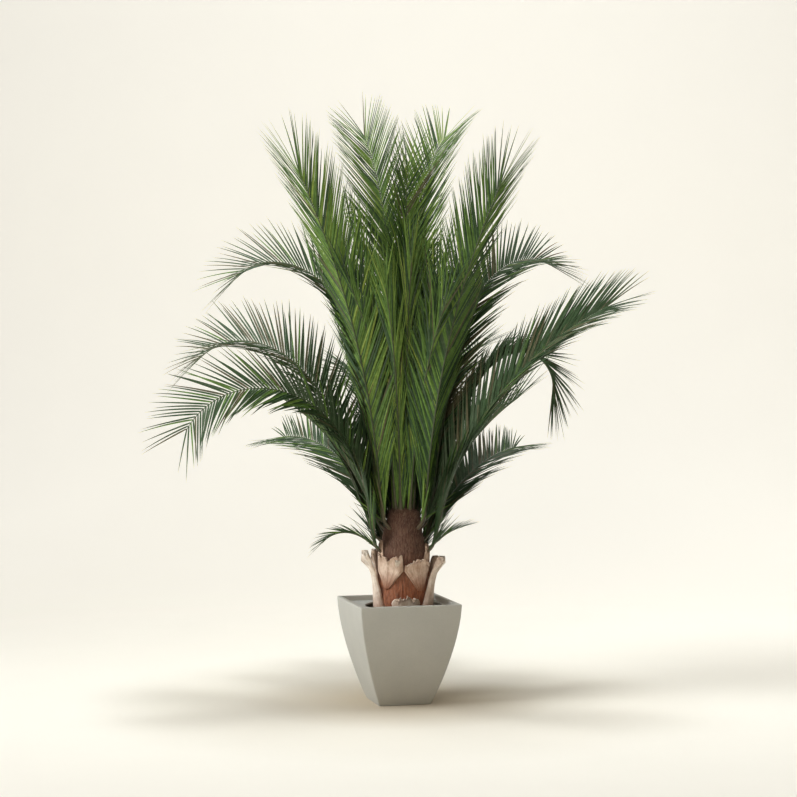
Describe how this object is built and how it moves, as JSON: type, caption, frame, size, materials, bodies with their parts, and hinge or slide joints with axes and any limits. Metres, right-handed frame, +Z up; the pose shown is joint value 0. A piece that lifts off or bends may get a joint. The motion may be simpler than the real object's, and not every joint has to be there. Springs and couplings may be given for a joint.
{
  "type": "potted palm tree",
  "caption": "Tall preserved palm with arching feathery fronds on a short fibrous trunk, standing in a square tapered planter.",
  "frame": {"origin": "centre of the planter's flat underside, on the floor", "axes": "+Z up the trunk to the crown, the planter's sides square to X and Y, its front to -Y"},
  "size_m": [1.8762, 1.7393, 2.4262],
  "materials": {
    "cast_stone": "matte, fine speckle",
    "planting_foam": "matte black",
    "cover_plate_grey": "matte",
    "trunk_fibre": "rough, fibrous",
    "leaf_base": "dry, papery",
    "leaf_base_red": "dry, papery",
    "palm_green": "satin leaf",
    "palm_deep_green": "satin leaf",
    "palm_bright_green": "satin leaf"
  },
  "bodies": {
    "root": {"pot": "cast_stone", "foam_filling": "planting_foam", "cover_plate": "cover_plate_grey", "trunk": "trunk_fibre", "boot_left": "leaf_base_red", "boot_right": "leaf_base", "boot_front_low": "leaf_base", "boot_front_left": "leaf_base", "boot_front_right": "leaf_base", "boot_back_right": "leaf_base", "boot_back": "leaf_base_red", "boot_back_left": "leaf_base", "boot_left_rear": "leaf_base", "frond_left_arch": "palm_deep_green", "frond_left_upper": "palm_deep_green", "frond_left_high": "palm_deep_green", "frond_left_tall": "palm_green", "frond_top_left": "palm_green", "frond_top_right": "palm_green", "frond_top_inner": "palm_green", "frond_right_tall": "palm_green", "frond_right_high": "palm_deep_green", "frond_right_arch": "palm_deep_green", "frond_right_low": "palm_deep_green", "frond_right_droop": "palm_deep_green", "frond_left_low": "palm_deep_green", "frond_left_fill": "palm_deep_green", "frond_right_fill": "palm_deep_green", "frond_back_low_right": "palm_deep_green", "frond_back_low_left": "palm_deep_green", "frond_back_left": "palm_deep_green", "frond_back_right": "palm_deep_green", "frond_back_middle": "palm_green", "frond_left_middle": "palm_green", "frond_right_middle": "palm_deep_green", "frond_front_middle": "palm_bright_green", "frond_front_right": "palm_green", "frond_front_left": "palm_green", "frond_centre_left": "palm_bright_green", "frond_centre_right": "palm_bright_green", "frond_centre_back": "palm_green", "frond_centre_front": "palm_bright_green", "frond_spray_right": "palm_deep_green", "frond_spray_left": "palm_deep_green"}
  },
  "joints": []
}
